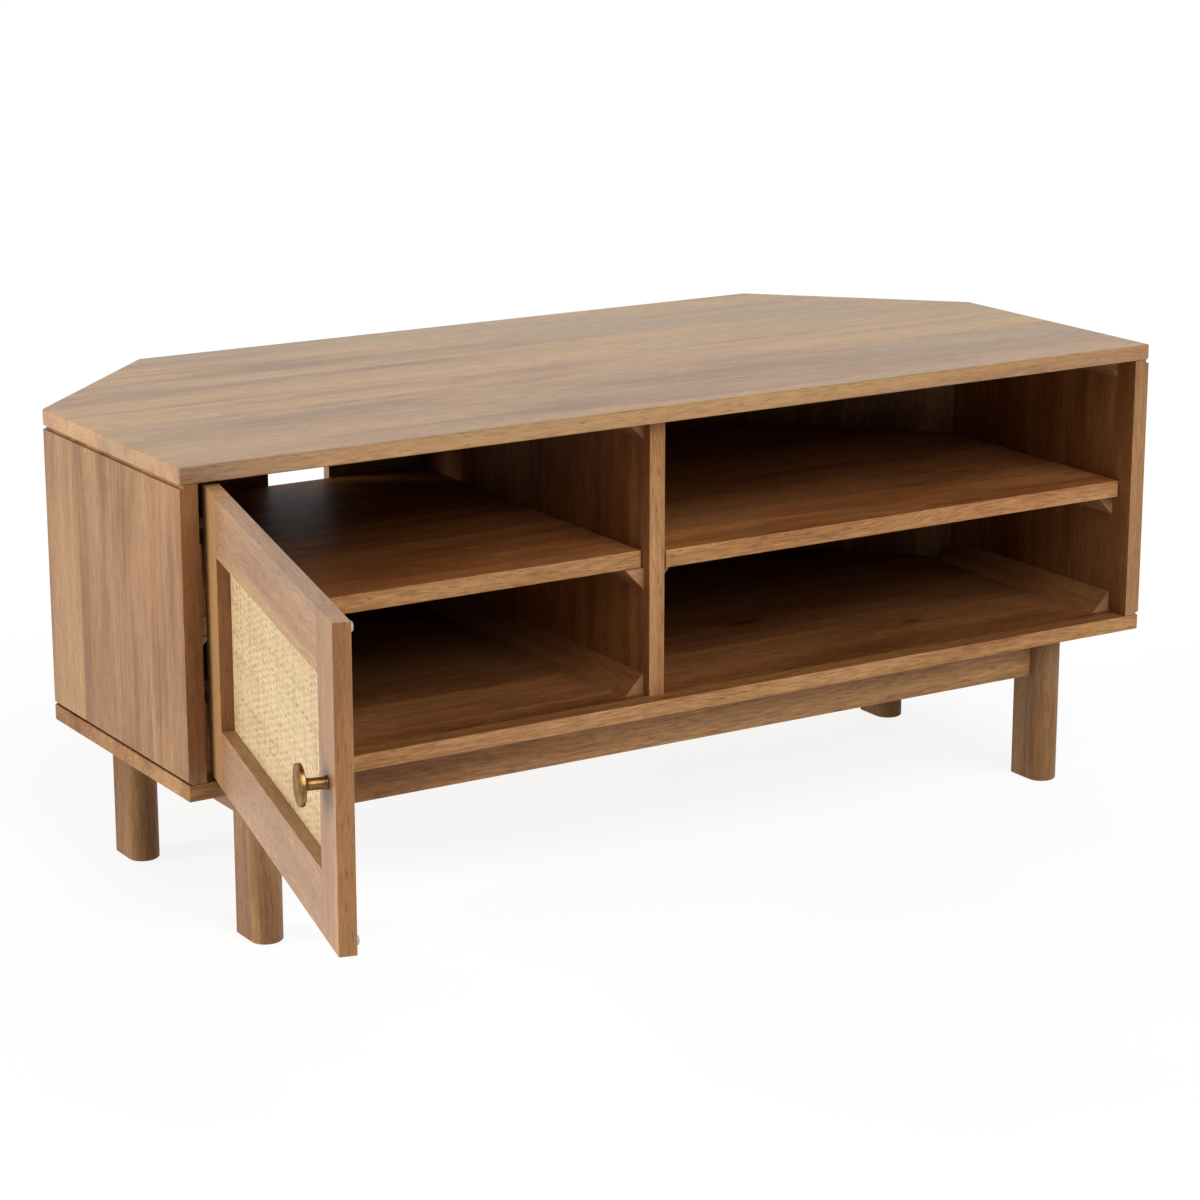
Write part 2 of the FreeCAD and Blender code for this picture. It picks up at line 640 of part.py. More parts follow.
def door_parts():
    """Everything that swings, by node name, with the door shut."""
    parts = door_frame()
    parts.update(cane_and_beads())
    parts["door_bumpers"] = Part.makeCompound(bumpers())
    screw = knob_screw()
    parts["knob"] = knob().cut(screw)
    parts["knob_screw"] = screw
    parts["door_stile_free"] = parts["door_stile_free"].cut(screw)
    screws = []
    pins = []
    for name, z in zip(HINGE_NAMES, HINGE_Z):
        pin = hinge_pin(z)
        cup = hinge_cup(z)
        cup_fixings = cup_screws(z)
        recess = rod(Vec(CUP_X, CUP_BOTTOM, z), Vec(0, 1, 0), CUP_RADIUS, DOOR_BOARD)
        parts[f"hinge_cup_{name}"] = bored(cup, [pin] + cup_fixings)
        parts["door_stile_hinge"] = bored(parts["door_stile_hinge"], [recess, pin] + cup_fixings)
        screws += cup_fixings
        pins.append(pin)
    parts["hinge_pins"] = Part.makeCompound(pins)
    parts["hinge_cup_screws"] = Part.makeCompound(screws)
    return parts


def main():
    """Lay out the fixed parts and the open door, centre them and write one file for each node."""
    parts = fixed_parts()
    for name, shape in door_parts().items():
        parts[name] = swung_open(shape)
    whole = Part.makeCompound(list(parts.values())).BoundBox
    shift = Vec(-whole.Center.x, -whole.Center.y, -whole.ZMin)
    os.makedirs("parts", exist_ok=True)
    for name, shape in parts.items():
        placed = shape.copy()
        placed.translate(shift)
        placed.exportStep(f"parts/{name}.step")
        print(f"{name}: {len(placed.Solids)} solid(s), valid {placed.isValid()}")
    pivot = Vec(PIVOT_X, PIVOT_Y, 0) + shift
    print(f"shift {shift.x:.3f} {shift.y:.3f} {shift.z:.3f}")
    print(f"hinge axis at {pivot.x:.4f} {pivot.y:.4f}")
    print(f"whole object {whole.XLength:.2f} x {whole.YLength:.2f} x {whole.ZLength:.2f}")


main()
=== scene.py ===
"""Looks for the corner media cabinet: oiled hardwood boards, a woven cane door, a brass knob."""
import json
import math
import bmesh
import bpy
from mathutils import Matrix, Vector


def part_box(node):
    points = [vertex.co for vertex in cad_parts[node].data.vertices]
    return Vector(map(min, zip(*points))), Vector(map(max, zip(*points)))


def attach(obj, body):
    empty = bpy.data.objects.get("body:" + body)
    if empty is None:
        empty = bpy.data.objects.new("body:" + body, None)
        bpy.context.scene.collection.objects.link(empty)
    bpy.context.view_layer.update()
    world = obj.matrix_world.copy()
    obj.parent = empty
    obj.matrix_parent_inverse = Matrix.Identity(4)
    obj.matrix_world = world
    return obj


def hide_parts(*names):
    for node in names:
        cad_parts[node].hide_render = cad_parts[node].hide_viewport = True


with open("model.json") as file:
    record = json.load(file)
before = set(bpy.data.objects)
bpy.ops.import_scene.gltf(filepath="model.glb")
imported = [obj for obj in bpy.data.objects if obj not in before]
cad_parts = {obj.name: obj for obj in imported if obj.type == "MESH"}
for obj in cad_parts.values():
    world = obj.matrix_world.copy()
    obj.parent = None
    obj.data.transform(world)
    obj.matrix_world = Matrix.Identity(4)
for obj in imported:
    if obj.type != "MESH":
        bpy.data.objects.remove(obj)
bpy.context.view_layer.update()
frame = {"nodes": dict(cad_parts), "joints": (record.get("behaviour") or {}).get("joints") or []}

MM = 0.001

# Camera: seen from the front left and above
CAMERA_PLACE = Vector((-1.685, -2.602, 1.102))
CAMERA_YAW = math.radians(32.01)
CAMERA_PITCH = math.radians(14.95)
CAMERA_LENS = 100.4
CAMERA_REACH = 100.0
SENSOR_WIDTH = 36.0

# Studio
FLOOR_HALF_SIZE = 30.0
FLOOR_GLOW = 0.86
FLOOR_GREYS = (0.11, 0.13)      # darkest and palest grey of its faint clouds
WORLD_FRONT = 0.02
WORLD_BACK = 1.0
WORLD_TURN = (0.2, 0.6)         # cosine to the view's direction over which the backdrop brightens
WORLD_BAND = (0.06, 0.10)       # rise above the horizon over which the pale band fades
WORLD_SIDES = (-0.25, -0.1)     # how far towards the front the band reaches
LIGHTS = (                      # name, direction to the light, strength, width in degrees
    ("left_light", Vector((-0.92, 0.24, 0.30)), 3.5, 40),
    ("top_light", Vector((0.0, -0.72, 0.69)), 3.35, 50),
)

# The door's joint: the door is stored open, and DOOR_SWING is the turn from shut to there
DOOR_JOINT = frame["joints"][0]
HINGE_POINT = Vector(DOOR_JOINT["pos_m"])
DOOR_SWING = math.radians(DOOR_JOINT["range_deg"][0])

# Knots
KNOTS = (                       # on the bottom panel: shares of its length and depth, radius
    (0.66, 0.40, 12.0 * MM),
    (0.80, 0.22, 8.0 * MM),
)
KNOT_STRETCH = (0.4, 1.0, 1.0)
KNOT_CORE = 0.2                 # share of its radius that is darkest
KNOT_SHADE = 0.35

# Cane
UPRIGHT_PITCH = 9.0 * MM        # broad flat splints run up and down
UPRIGHT_WIDTH = 8.5 * MM
CROSSING_PITCH = 3.1 * MM       # narrow strands cross them
CROSSING_WIDTH = 3.0 * MM
STRAND_THICKNESS = 0.42 * MM
STRAND_RISE = 0.55              # share of its thickness that a strand lifts over each one it crosses
STRAND_EASE = 0.5               # below 1 the strand's waves have flatter tops
STRAND_SECTION = (              # corners, in shares of the strand's width and thickness
    (-0.5, 0.0), (-0.36, 0.5), (0.36, 0.5), (0.5, 0.0), (0.36, -0.5), (-0.36, -0.5),
)
STEPS_PER_CROSSING = 4

# Knob: a collar at its foot, a straight neck that flares out, and a crowned disc
KNOB_INSIDE = 0.05 * MM         # the turned knob stays this far inside the CAD knob's box
KNOB_COLLAR = (                 # radius and height
    (5.7 * MM, 0.0), (5.75 * MM, 0.5 * MM), (5.1 * MM, 2.0 * MM), (4.85 * MM, 3.6 * MM),
)
NECK_RADIUS = 4.8 * MM
FLARE_LENGTH = 8.0 * MM
FLARE_WIDENING = 2.4 * MM
FLARE_STEPS = 8
DISC_THICKNESS = 4.5 * MM
DISC_EDGE = 0.7 * MM            # radius of its rounded edges
DISC_EDGE_STEPS = 4
DISC_UNDERSIDE = 0.55           # share of the disc's radius where its flat underside begins
DISC_CROWN = ((0.75, 0.45), (0.4, 0.08))  # share of its radius, and of DISC_EDGE below the tip
KNOB_SEGMENTS = 96

# Marks in the wood: noise cells per metre along the grain and twice across it
WAVE_CELLS = (3.0, 3.0, 3.0)
CLOUD_CELLS = (3.0, 10.0, 10.0)
SMOKE_CELLS = (1.2, 12.0, 12.0)
GOLD_CELLS = (0.9, 30.0, 30.0)
STREAK_CELLS = (4.0, 60.0, 60.0)
RING_CELLS = (7.0, 30.0, 30.0)
FIBRE_CELLS = (42.0, 520.0, 520.0)
PORE_CELLS = (75.0, 950.0, 950.0)
CLOUD_SHARE = 0.66
STREAK_SHARE = 0.34
RING_SPACING = 5.5 * MM
RING_NOISE = 2.2                # rings that the fine and the broad waviness shift them by
RING_WAVE = 3.0
RING_EDGE = 0.88                # share of a ring after which its dark part ends
RING_DEPTHS = (0.02, 0.08)      # how dark they are in the dark and in the pale clouds
PITH_ASIDE = 0.05               # how far the pith lies aside and below, and leans, at most
PITH_BELOW = (0.03, 0.09)
PITH_TILT = 0.06
GOLD_FADE = 0.1                 # how softly the golden bands begin, and how golden they are
GOLD_SHARE = 0.6
SMOKE_FADE = (0.50, 0.66)       # noise between which the grey bands set in
FIBRE_DARKER = 0.2
FIBRE_LIGHTER = 0.15
PORE_SHADE = 0.62
GLUE_LINE_WIDTH = 0.006         # share of a strip's width
GLUE_LINE_SHADE = 0.9
STRIP_SHADES = (0.94, 1.04)     # how far the strips differ in lightness
FACING_FADE = (0.5, 0.9)        # cosine to a facing's direction over which its tint sets in
DRY_SPECULAR = 0.04             # specular level of unpolished wood, and what full polish adds
POLISH_SPECULAR = 0.84
GRAIN_WANDER = 0.03             # how far the grain strays from a straight line
SEED_STEPS = (1.37, 0.73, 2.11)           # how far apart in the noise two boards lie
STRIP_JUMP = (3.0, 3.0, 3.0)              # how far apart in it two glued strips may lie
STRIP_SEEDS = 20                # seeds kept for the strips of one board

# Marks in the other materials: noise cells per metre along x, y and z
# the cane's dark pits are painted shade of its small holes
CANE_HOLE_SHADE_CELLS = (95.0, 95.0, 235.0)
CANE_LINE_CELLS = (25.0, 1400.0, 1400.0)  # along the strand and twice across it, as the next one
CANE_PATCH_CELLS = (7.0, 130.0, 130.0)
BRASS_MOTTLE_CELLS = (90.0, 90.0, 90.0)
BRASS_SCRATCH_CELLS = (900.0, 900.0, 2600.0)
STEEL_BRUSH_CELLS = (600.0, 600.0, 60.0)
RUBBER_CELLS = (300.0, 300.0, 300.0)
FLOOR_CELLS = (2.0, 2.0, 2.0)

UP = (0.0, 0.0, 1.0)
LEFT = (-1.0, 0.0, 0.0)
RIGHT = (1.0, 0.0, 0.0)
FRONT = (0.0, -1.0, 0.0)
DOOR_EDGE = (math.cos(DOOR_SWING), math.sin(DOOR_SWING), 0.0)

# The turn that brings each grain direction onto x
GRAIN_TURNS = {
    "x": (0.0, 0.0, 0.0),
    "y": (0.0, 0.0, math.radians(-90)),
    "z": (0.0, math.radians(90), 0.0),
    "door": (0.0, 0.0, -DOOR_SWING),
}


def linear(red, green, blue):
    """A colour given as 8-bit screen values, in the linear values that shaders take."""
    def channel(value):
        share = value / 255.0
        return share / 12.92 if share <= 0.04045 else ((share + 0.055) / 1.055) ** 2.4
    return (channel(red), channel(green), channel(blue), 1.0)


# Wood colours, from the dark streaks to the pale ones, then its golden and grey bands
WOOD_DARK = linear(106, 69, 38)
WOOD_WARM = linear(130, 90, 55)
WOOD_MIDDLE = linear(142, 103, 67)
WOOD_PALE = linear(156, 118, 79)
WOOD_GOLD = linear(160, 121, 73)
WOOD_GREY = linear(124, 103, 78)

# Tints that multiply the colour of some faces of a board: painted sheen on the top, painted shade on the
# faces inside the case and on edges
TOP_SHEEN_TINT = (0.83, 0.86, 0.78)         # painted sheen: the top's upper face is made a little less red, as the pale sheen on it would make it
BOTTOM_SHADE_TINT = (0.54, 0.43, 0.36)      # painted shade: the bottom panel's upper faces inside the case are made darker and redder
# Painted shade inside the case: the shelves' upper faces and the inner walls are made darker and redder
SHELF_LEFT_SHADE_TINT = (0.68, 0.52, 0.41)
SHELF_RIGHT_SHADE_TINT = (0.60, 0.47, 0.38)
WALL_SHADE_TINT = (0.78, 0.62, 0.50)
EDGE_SHADE_TINT = (0.74, 0.62, 0.54)        # painted shade: faces turned to the front and the door's edges are made darker than the broad faces


class Nodes:
    """Short calls for building a node tree."""

    def __init__(self, tree):
        self.tree = tree

    def add(self, kind, inputs=None, **settings):
        node = self.tree.nodes.new("ShaderNode" + kind)
        for key, value in settings.items():
            setattr(node, key, value)
        for key, value in (inputs or {}).items():
            self.feed(value, node.inputs[key])
        return node

    def feed(self, value, socket):
        """Link a socket, or set a plain value."""
        if isinstance(value, bpy.types.NodeSocket):
            self.tree.links.new(value, socket)
        else:
            socket.default_value = value

    def math(self, operation, first, second=0.0):
        return self.add("Math", {0: first, 1: second}, operation=operation).outputs[0]

    def vector_math(self, operation, first, second=(0.0, 0.0, 0.0)):
        outputs = self.add("VectorMath", {0: first, 1: second}, operation=operation).outputs
        return outputs["Value" if operation in ("DOT_PRODUCT", "LENGTH") else "Vector"]

    def axes(self, vector):
        return self.add("SeparateXYZ", {0: vector}).outputs

    def scaled(self, vector, scale):
        return self.add("Mapping", {"Vector": vector, "Scale": scale}).outputs[0]

    def turned(self, vector, along):
        """The vector turned so that the grain runs along its x."""
        return self.add("Mapping", {"Vector": vector, "Rotation": GRAIN_TURNS[along]}).outputs[0]

    def noise(self, vector, detail=2.0, roughness=0.5, distortion=0.0):
        inputs = {"Vector": vector, "Scale": 1.0, "Detail": detail,
                  "Roughness": roughness, "Distortion": distortion}
        return self.add("TexNoise", inputs).outputs[0]

    def ramp(self, value, stops):
        node = self.add("ValToRGB", {"Fac": value})
        elements = node.color_ramp.elements
        while len(elements) < len(stops):
            elements.new(0.5)
        for element, (place, colour) in zip(elements, stops):
            element.position = place
            element.color = colour
        return node.outputs[0]

    def span(self, value, low, high, to_low, to_high):
        """The value taken from one range to another, and held inside it."""
        inputs = {0: value, 1: low, 2: high, 3: to_low, 4: to_high}
        return self.add("MapRange", inputs, clamp=True).outputs[0]

    def blend(self, mode, factor, first, second):
        node = self.add("Mix", {0: factor, 6: first, 7: second}, data_type="RGBA", blend_type=mode)
        return node.outputs[2]

    def shaded(self, colour, shade):
        """The colour made lighter or darker by a plain number."""
        grey = self.add("CombineColor", {0: shade, 1: shade, 2: shade}).outputs[0]
        return self.blend("MULTIPLY", 1.0, colour, grey)


class Surface(Nodes):
    """A new material, with its node tree and its shader."""

    def __init__(self, name):
        self.material = bpy.data.materials.new(name)
        self.material.use_nodes = True
        super().__init__(self.material.node_tree)
        self.shader = self.tree.nodes["Principled BSDF"]

    def coordinates(self):
        return self.add("TexCoord").outputs["Object"]

    def give(self, target, value):
        """Give the shader's input a socket, or one value all over the surface."""
        self.feed(value, self.shader.inputs[target])

    def bump(self, height, strength, distance):
        inputs = {"Height": height, "Strength": strength, "Distance": distance}
        self.give("Normal", self.add("Bump", inputs).outputs[0])


def glued_strips(n, own, seed, stave, across):
    """A wide panel's strips: the place inside each strip, its random pick and its shade."""
    axes = n.axes(own)
    count = n.math("DIVIDE", axes[across], stave)
    strip = n.math("ADD", n.math("FLOOR", count), float(seed * STRIP_SEEDS))
    random = n.add("TexWhiteNoise", {"W": strip}, noise_dimensions="1D").outputs
    joint = n.span(n.math("PINGPONG", count, 0.5), 0.0, GLUE_LINE_WIDTH, GLUE_LINE_SHADE, 1.0)
    shade = n.math("MULTIPLY", joint, n.span(random["Value"], 0.0, 1.0, *STRIP_SHADES))
    middle = n.math("MULTIPLY", n.math("SUBTRACT", n.math("FRACT", count), 0.5), stave)
    kept = {0: axes["X"], 1: axes["Y"], 2: axes["Z"]}
    kept["XYZ".index(across)] = middle
    return n.add("CombineXYZ", kept).outputs[0], random, shade


def growth_rings(n, own, random, wave):
    """Growth rings, from 0 to 1, round a pith that lies beside the strip and nearly along it."""
    axes = n.axes(own)
    pick = n.axes(random["Color"])
    aside = n.math("ADD", axes["Y"], n.span(pick["X"], 0.0, 1.0, -PITH_ASIDE, PITH_ASIDE))
    tilt = n.math("MULTIPLY", axes["X"], n.span(pick["Y"], 0.0, 1.0, -PITH_TILT, PITH_TILT))
    below = n.math("ADD", n.math("ADD", axes["Z"], n.span(pick["Z"], 0.0, 1.0, *PITH_BELOW)), tilt)
    reach = n.math("SQRT", n.math("ADD", n.math("POWER", aside, 2.0), n.math("POWER", below, 2.0)))
    uneven = n.noise(n.scaled(own, RING_CELLS), detail=3.0, roughness=0.6)
    count = n.math("ADD", n.math("DIVIDE", reach, RING_SPACING), n.math("MULTIPLY", uneven, RING_NOISE))
    count = n.math("ADD", count, n.math("MULTIPLY", wave, RING_WAVE))
    share = n.math("FRACT", count)
    return n.math("MULTIPLY", n.math("POWER", share, 2.0), n.span(share, RING_EDGE, 1.0, 1.0, 0.0))


def broad_marks(n, vector, rings, streaks, figure, grey, gold_from):
    """The wood's colour with its broad marks: clouds, streaks and rings, golden and grey bands."""
    clouds = n.noise(n.scaled(vector, CLOUD_CELLS), detail=3.0, roughness=0.5)
    mixed = n.math("ADD", n.math("MULTIPLY", clouds, CLOUD_SHARE), n.math("MULTIPLY", streaks, STREAK_SHARE))
    mixed = n.math("SUBTRACT", mixed, n.math("MULTIPLY", rings, n.span(clouds, 0.35, 0.65, *RING_DEPTHS)))
    mixed = n.span(mixed, 0.3, 0.7, 0.5 - 0.5 * figure, 0.5 + 0.5 * figure)
    colour = n.ramp(mixed, [(0.05, WOOD_DARK), (0.36, WOOD_WARM), (0.55, WOOD_MIDDLE), (0.95, WOOD_PALE)])
    gold = n.noise(n.scaled(vector, GOLD_CELLS), detail=2.0)
    golden = n.span(gold, gold_from, gold_from + GOLD_FADE, 0.0, GOLD_SHARE)
    colour = n.blend("MIX", golden, colour, WOOD_GOLD)
    if grey:
        smoke = n.noise(n.scaled(vector, SMOKE_CELLS), detail=2.0)
        colour = n.blend("MIX", n.span(smoke, *SMOKE_FADE, 0.0, grey), colour, WOOD_GREY)
    return colour


def knot_shade(n, coordinates, streaks, point, radius):
    """How dark a knot at the point makes the wood round it: 1 away from it."""
    offset = n.vector_math("SUBTRACT", coordinates, point)
    reach = n.vector_math("LENGTH", n.scaled(offset, KNOT_STRETCH))
    uneven = n.math("MULTIPLY", n.math("SUBTRACT", streaks, 0.5), radius)
    return n.span(n.math("ADD", reach, uneven), KNOT_CORE * radius, radius, KNOT_SHADE, 1.0)


def wood(name, along, seed, centre, stave=0.0, across="Y", tone=1.0, facings=(), facing_tint=None,
         figure=1.0, flecks=1.0, grey=0.0, gold_from=0.6, polish=0.25, knots=()):
    """Oiled hardwood, all of whose marks run along the grain.

    along is the grain's direction, centre the board's middle, and seed picks its marks.
    stave is the width of the strips that a wide panel is glued up from, or 0 for one piece,
    and across is the axis that they lie side by side on, once the grain is turned onto x.
    Its lightness is the wood's own tone, and on the legs painted shade as well. The tint given
    for the facings is painted light and shade: it multiplies the colour of the faces that look one
    of the facings' ways, as painted sheen on the top and painted shade inside the case and on the
    edges. figure is how strongly it is marked, flecks how strong its fine fibres
    are, grey how far its smoky bands turn grey, and gold_from where its golden bands begin
    (lower is more of them). polish is the share of clear lacquer on it.
    knots are places in the row's frame, each with a radius."""
    n = Surface(name)
    coordinates = n.coordinates()
    own = n.turned(n.vector_math("SUBTRACT", coordinates, centre), along)
    vector = n.vector_math("ADD", own, [seed * step for step in SEED_STEPS])
    if stave:
        own, random, shade = glued_strips(n, own, seed, stave, across)
        vector = n.vector_math("ADD", vector, n.vector_math("MULTIPLY", random["Color"], STRIP_JUMP))
    else:
        random = n.add("TexWhiteNoise", {"W": float(seed)}, noise_dimensions="1D").outputs
        shade = 1.0
    wave = n.noise(n.scaled(vector, WAVE_CELLS), detail=1.0)
    wander = n.math("MULTIPLY", n.math("SUBTRACT", wave, 0.5), GRAIN_WANDER)
    vector = n.vector_math("ADD", vector, n.add("CombineXYZ", {1: wander, 2: wander}).outputs[0])
    rings = growth_rings(n, own, random, wave)
    streaks = n.noise(n.scaled(vector, STREAK_CELLS), detail=4.0, roughness=0.62, distortion=0.15)
    fibres = n.noise(n.scaled(vector, FIBRE_CELLS), detail=3.0, roughness=0.65)
    pores = n.noise(n.scaled(vector, PORE_CELLS), detail=1.0, roughness=0.4)
    colour = broad_marks(n, vector, rings, streaks, figure, grey, gold_from)
    # Painted light and shade: faces that look one of the facings' ways get their tint multiplied into the
    # colour
    for facing in facings:
        towards = n.vector_math("DOT_PRODUCT", n.add("NewGeometry").outputs["Normal"], facing)
        colour = n.blend("MULTIPLY", n.span(towards, *FACING_FADE, 0.0, 1.0), colour, facing_tint + (1.0,))
    dark_fibre = (1.0 - FIBRE_DARKER * flecks) * tone
    pale_fibre = (1.0 + FIBRE_LIGHTER * flecks) * tone
    shade = n.math("MULTIPLY", shade, n.span(fibres, 0.34, 0.66, dark_fibre, pale_fibre))
    shade = n.math("MULTIPLY", shade, n.span(pores, 0.60, 0.72, 1.0, PORE_SHADE))
    for point, radius in knots:
        shade = n.math("MULTIPLY", shade, knot_shade(n, coordinates, streaks, point, radius))
    n.give("Base Color", n.shaded(colour, shade))
    n.give("Roughness", n.span(fibres, 0.3, 0.7, 0.52, 0.42))
    height = n.math("SUBTRACT", n.math("MULTIPLY", fibres, 0.5), n.span(pores, 0.60, 0.74, 0.0, 1.0))
    n.bump(height, 0.3, 0.12 * MM)
    n.give("Specular IOR Level", DRY_SPECULAR + POLISH_SPECULAR * polish)
    n.give("Coat Weight", polish)
    n.give("Coat Roughness", 0.38)
    return n.material


def cane_strand(name, along):
    """Split cane: pale straw with fine lines along it, darker patches, and dark pits painted as the shade
    seen through the weave's small holes.
    """
    n = Surface(name)
    coordinates = n.coordinates()
    vector = n.turned(coordinates, along)
    sheet = n.turned(coordinates, "door")
    # Painted shade: dark pits where the weave's small holes show the shade behind it
    spots = {"Vector": n.scaled(sheet, CANE_HOLE_SHADE_CELLS), "Scale": 1.0, "Randomness": 0.6}
    hole_shade = n.add("TexVoronoi", spots).outputs["Distance"]
    lines = n.noise(n.scaled(vector, CANE_LINE_CELLS), detail=2.0, roughness=0.6)
    patches = n.noise(n.scaled(vector, CANE_PATCH_CELLS), detail=2.0, roughness=0.55)
    colour = n.ramp(patches, [
        (0.30, linear(164, 133, 89)),
        (0.46, linear(188, 160, 116)),
        (0.62, linear(199, 174, 131)),
        (0.74, linear(177, 145, 98)),
    ])
    shade = n.math("MULTIPLY", n.span(lines, 0.3, 0.7, 0.88, 1.05), n.span(hole_shade, 0.12, 0.42, 0.60, 1.04))
    n.give("Base Color", n.shaded(colour, shade))
    n.give("Roughness", n.span(lines, 0.3, 0.7, 0.5, 0.38))
    n.bump(lines, 0.3, 0.08 * MM)
    return n.material


def aged_brass():
    """Dark aged brass with paler, smoother mottles and fine scratches."""
    n = Surface("aged_brass")
    coordinates = n.coordinates()
    mottle = n.noise(n.scaled(coordinates, BRASS_MOTTLE_CELLS), detail=4.0, roughness=0.6)
    scratches = n.noise(n.scaled(coordinates, BRASS_SCRATCH_CELLS), detail=2.0)
    n.give("Base Color", n.ramp(mottle, [
        (0.32, linear(100, 68, 40)),
        (0.50, linear(134, 101, 63)),
        (0.70, linear(164, 133, 90)),
    ]))
    n.give("Roughness", n.span(mottle, 0.3, 0.7, 0.42, 0.30))
    n.bump(scratches, 0.12, 0.05 * MM)
    n.give("Metallic", 1.0)
    n.give("Specular Tint", linear(238, 218, 196))
    return n.material


def plated_steel():
    """Zinc-plated hinge sheet and screws with a soft brushed sheen."""
    n = Surface("plated_steel")
    brushed = n.noise(n.scaled(n.coordinates(), STEEL_BRUSH_CELLS), detail=3.0)
    n.give("Base Color", n.ramp(brushed, [(0.3, linear(168, 168, 166)), (0.7, linear(206, 205, 202))]))
    n.give("Roughness", n.span(brushed, 0.3, 0.7, 0.38, 0.26))
    n.bump(brushed, 0.1, 0.05 * MM)
    n.give("Metallic", 1.0)
    return n.material


def clear_rubber():
    """Milky see-through rubber of the little door bumpers."""
    n = Surface("clear_rubber")
    cloud = n.noise(n.scaled(n.coordinates(), RUBBER_CELLS), detail=2.0)
    n.give("Base Color", n.ramp(cloud, [(0.3, linear(214, 212, 206)), (0.7, linear(236, 235, 230))]))
    n.give("Roughness", n.span(cloud, 0.3, 0.7, 0.34, 0.22))
    n.give("Transmission Weight", 0.7)
    n.give("IOR", 1.45)
    return n.material


def glowing_floor():
    """White studio floor that glows nearly as bright as it is lit, with the faintest unevenness."""
    n = Surface("studio_floor")
    cloud = n.noise(n.scaled(n.coordinates(), FLOOR_CELLS), detail=2.0)
    dark, pale = [(grey, grey, grey, 1.0) for grey in FLOOR_GREYS]
    n.give("Base Color", n.ramp(cloud, [(0.3, dark), (0.7, pale)]))
    n.give("Roughness", 1.0)
    n.give("Specular IOR Level", 0.0)
    n.give("Emission Color", (1.0, 1.0, 1.0, 1.0))
    n.give("Emission Strength", FLOOR_GLOW)
    return n.material


def dress(node_name, material):
    """Give a CAD node one material all over."""
    mesh = frame["nodes"][node_name].data
    mesh.materials.clear()
    mesh.materials.append(material)


def panel_knots():
    """The bottom panel's knots: their places on its upper face, and their radii."""
    low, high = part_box("bottom_panel")
    span = Vector(high) - Vector(low)
    return [(Vector(low) + Vector((length * span.x, depth * span.y, span.z)), radius)
            for length, depth, radius in KNOTS]


def wood_plans():
    """What each wooden node's wood is like, by the node's name."""
    plans = {
        "top_panel": dict(along="x", stave=0.080, tone=1.25, facings=(UP,), facing_tint=TOP_SHEEN_TINT,
                          figure=1.1, flecks=0.9, grey=0.65, gold_from=0.44, polish=0.38),
        "bottom_panel": dict(along="x", stave=0.110, tone=1.12, facings=(UP,), facing_tint=BOTTOM_SHADE_TINT,
                             flecks=1.4, polish=0.05, knots=panel_knots()),
        "shelf_left": dict(along="x", stave=0.120, tone=1.22, facings=(UP,), facing_tint=SHELF_LEFT_SHADE_TINT,
                           flecks=1.4, polish=0.0),
        "shelf_right": dict(along="x", stave=0.120, tone=1.36, facings=(UP,), facing_tint=SHELF_RIGHT_SHADE_TINT,
                            flecks=1.4, polish=0.06),
        "side_panel_left": dict(along="z", stave=0.075, tone=0.96, facings=(FRONT,), facing_tint=EDGE_SHADE_TINT,
                                figure=1.25, flecks=0.7, polish=0.18),
        "side_panel_right": dict(along="z", stave=0.075, tone=1.1, facings=(LEFT,), facing_tint=WALL_SHADE_TINT,
                                 polish=0.1),
        "back_board_left": dict(along="z", stave=0.075),
        "back_board_right": dict(along="z", stave=0.075),
        "back_board_middle": dict(along="x", stave=0.090, across="Z"),
        "divider": dict(along="z", stave=0.090, tone=1.2, facings=(LEFT, RIGHT), facing_tint=WALL_SHADE_TINT,
                        polish=0.04),
        "door_stile_hinge": dict(along="z", tone=1.06, facings=(DOOR_EDGE,), facing_tint=EDGE_SHADE_TINT,
                                 figure=0.75, flecks=0.8, gold_from=0.54),
        "door_stile_free": dict(along="z", tone=1.1, facings=(DOOR_EDGE,), facing_tint=EDGE_SHADE_TINT,
                                figure=0.7, flecks=0.8, gold_from=0.54),
        "door_rail_top": dict(along="door", tone=1.14, figure=0.7, grey=0.3, gold_from=0.52),
        "door_rail_bottom": dict(along="door", tone=1.08, figure=0.75, gold_from=0.54),
        "bead_bottom": dict(along="door"),
        "bead_top": dict(along="door"),
        "rail_front": dict(along="x", tone=1.14, flecks=1.4, polish=0.1),
        # The legs' lightness is partly painted shade: the front right and back legs are darker, the back
        # right one most, as shade falls on them
        "leg_front_left": dict(along="z", tone=0.88, polish=0.15),
        "leg_front_right": dict(along="z", tone=0.73, polish=0.08),
        "leg_back_left": dict(along="z", tone=0.74, polish=0.06),
        "leg_back_right": dict(along="z", tone=0.42, polish=0.0),
    }
    plans_by_start = {
        "bead_": dict(along="z"),
        "cleat_": dict(along="y", tone=1.1, facings=(LEFT, RIGHT, UP), facing_tint=WALL_SHADE_TINT),
        "corner_block_": dict(along="z"),
        "filler_strip_": dict(along="z"),
        "rail_back": dict(along="x"),
        "rail_dowels": dict(along="x"),
        "rail_left": dict(along="y"),
        "rail_right": dict(along="y"),
    }
    for name in frame["nodes"]:
        for start, plan in plans_by_start.items():
            if name.startswith(start):
                plans.setdefault(name, plan)
    return plans


def dress_wood():
    """Each wooden node gets its own grain, with a seed of its own."""
    for seed, (name, plan) in enumerate(sorted(wood_plans().items()), start=1):
        low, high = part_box(name)
        centre = (Vector(low) + Vector(high)) / 2
        dress(name, wood("wood_" + name, seed=seed, centre=centre, **plan))


